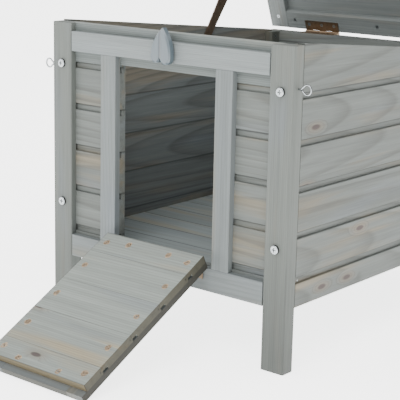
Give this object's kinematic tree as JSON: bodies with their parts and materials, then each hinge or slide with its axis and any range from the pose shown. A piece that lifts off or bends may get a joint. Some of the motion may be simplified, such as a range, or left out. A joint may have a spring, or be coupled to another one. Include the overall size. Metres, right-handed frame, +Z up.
{
  "type": "rodent house",
  "caption": "Grey-stained wooden rodent house with open hinged felt roof, lowered ramp door and heart-shaped turn button.",
  "frame": {"origin": "centre of the footprint of the four legs, on the ground", "axes": "+X to the right seen from the front, +Y from the front (ramp) to the back, +Z up"},
  "size_m": [0.4665, 0.7946, 0.9078],
  "materials": {
    "grey_stained_legs": "grey-green water stain, matt, fine vertical grain",
    "blue_grey_rails": "blue-grey water stain, matt",
    "grey_stained_boards": "grey stain with tan grain and knots, matt",
    "grey_floor_boards": "grey stain, matt",
    "dark_cleats": "dark grey-brown stain, matt",
    "pale_grey_ramp_boards": "pale grey stain with tan streaks, matt",
    "blue_grey_ramp_battens": "blue-grey water stain, matt",
    "lid_frame_wood": "grey stain, matt",
    "lid_panel_wood": "grey stain, matt",
    "black_roofing_felt": "black mineral granules, rough",
    "blue_grey_paint": "glossy blue-grey paint on wood",
    "bright_zinc": "bright zinc plate",
    "antique_bronze": "antique bronze plate, satin",
    "brown_steel": "brown coated steel, satin"
  },
  "bodies": {
    "house": {"back_boards": "grey_stained_boards", "back_bottom_rail": "blue_grey_rails", "back_left_cleat": "dark_cleats", "back_left_leg": "grey_stained_legs", "back_right_cleat": "dark_cleats", "back_right_leg": "grey_stained_legs", "back_top_rail": "blue_grey_rails", "floor_boards": "grey_floor_boards", "frame_bolts": "bright_zinc", "front_bottom_rail": "blue_grey_rails", "front_left_boards": "grey_stained_boards", "front_left_cleat": "dark_cleats", "front_left_leg": "grey_stained_legs", "front_right_boards": "grey_stained_boards", "front_right_cleat": "dark_cleats", "front_right_leg": "grey_stained_legs", "front_sill_board": "grey_stained_boards", "front_top_board": "grey_stained_boards", "front_top_rail": "blue_grey_rails", "left_door_stile": "blue_grey_rails", "left_floor_bearer": "grey_floor_boards", "left_screw_eye": "bright_zinc", "left_side_boards": "grey_stained_boards", "lid_hinge_pins": "antique_bronze", "lid_hinge_wall_leaves": "antique_bronze", "ramp_hinge_pins": "antique_bronze", "ramp_hinge_rail_leaves": "antique_bronze", "right_door_stile": "blue_grey_rails", "right_floor_bearer": "grey_floor_boards", "right_screw_eye": "bright_zinc", "right_side_boards": "grey_stained_boards", "stay_wall_rivet": "brown_steel", "wall_screws": "bright_zinc"},
    "ramp": {"ramp_board_1": "pale_grey_ramp_boards", "ramp_board_2": "pale_grey_ramp_boards", "ramp_board_3": "pale_grey_ramp_boards", "ramp_board_4": "pale_grey_ramp_boards", "ramp_board_5": "pale_grey_ramp_boards", "ramp_foot_batten": "blue_grey_ramp_battens", "ramp_hinge_batten": "blue_grey_ramp_battens", "ramp_hinge_door_leaves": "antique_bronze", "ramp_left_batten": "blue_grey_ramp_battens", "ramp_right_batten": "blue_grey_ramp_battens", "ramp_screws": "bright_zinc"},
    "lid": {"lid_left_stile": "lid_frame_wood", "lid_right_stile": "lid_frame_wood", "lid_back_rail": "lid_frame_wood", "lid_front_rail": "lid_frame_wood", "roof_panel": "lid_panel_wood", "roof_felt": "black_roofing_felt", "lid_hinge_lid_leaves": "antique_bronze", "lid_screws": "bright_zinc", "stay_bracket": "brown_steel", "hook_posts": "bright_zinc"},
    "knob": {"turn_knob": "blue_grey_paint", "knob_spindle": "bright_zinc"},
    "stay_lower": {"stay_lower_link": "brown_steel"},
    "stay_upper": {"stay_upper_link": "brown_steel"},
    "left_latch": {"left_hook": "bright_zinc"},
    "right_latch": {"right_hook": "bright_zinc"}
  },
  "joints": [
    {"name": "ramp_hinge", "type": "hinge", "parent": "house", "child": "ramp", "pos_m": [0, -0.2687, 0.1192], "axis": [-1, 0, 0], "range_deg": [0, 117.66]},
    {"name": "lid_hinge", "type": "hinge", "parent": "house", "child": "lid", "pos_m": [0, 0.2685, 0.38265], "axis": [1, 0, 0], "range_deg": [0, 63.73]},
    {"name": "knob_turn", "type": "hinge", "parent": "house", "child": "knob", "pos_m": [0.003, -0.266, 0.3985], "axis": [0, -1, 0], "continuous": true},
    {"name": "stay_wall_pivot", "type": "hinge", "parent": "house", "child": "stay_lower", "pos_m": [-0.197, 0.0399, 0.345], "axis": [1, 0, 0], "range_deg": [-80.13, 0]},
    {"name": "stay_lid_pivot", "type": "hinge", "parent": "lid", "child": "stay_upper", "pos_m": [-0.1945, 0.18631, 0.56199], "axis": [1, 0, 0], "range_deg": [0, 12.56]},
    {"name": "left_hook_pivot", "type": "hinge", "parent": "lid", "child": "left_latch", "pos_m": [-0.2287, 0.08245, 0.8698], "axis": [1, 0, 0], "range_deg": [-75, 30]},
    {"name": "right_hook_pivot", "type": "hinge", "parent": "lid", "child": "right_latch", "pos_m": [0.2232, 0.08245, 0.8698], "axis": [1, 0, 0], "range_deg": [-75, 30]}
  ],
  "couplings": [
    {"joint": "stay_wall_pivot", "follows": "lid_hinge", "ratio": -1.2573},
    {"joint": "stay_lid_pivot", "follows": "lid_hinge", "ratio": 0.19697}
  ]
}
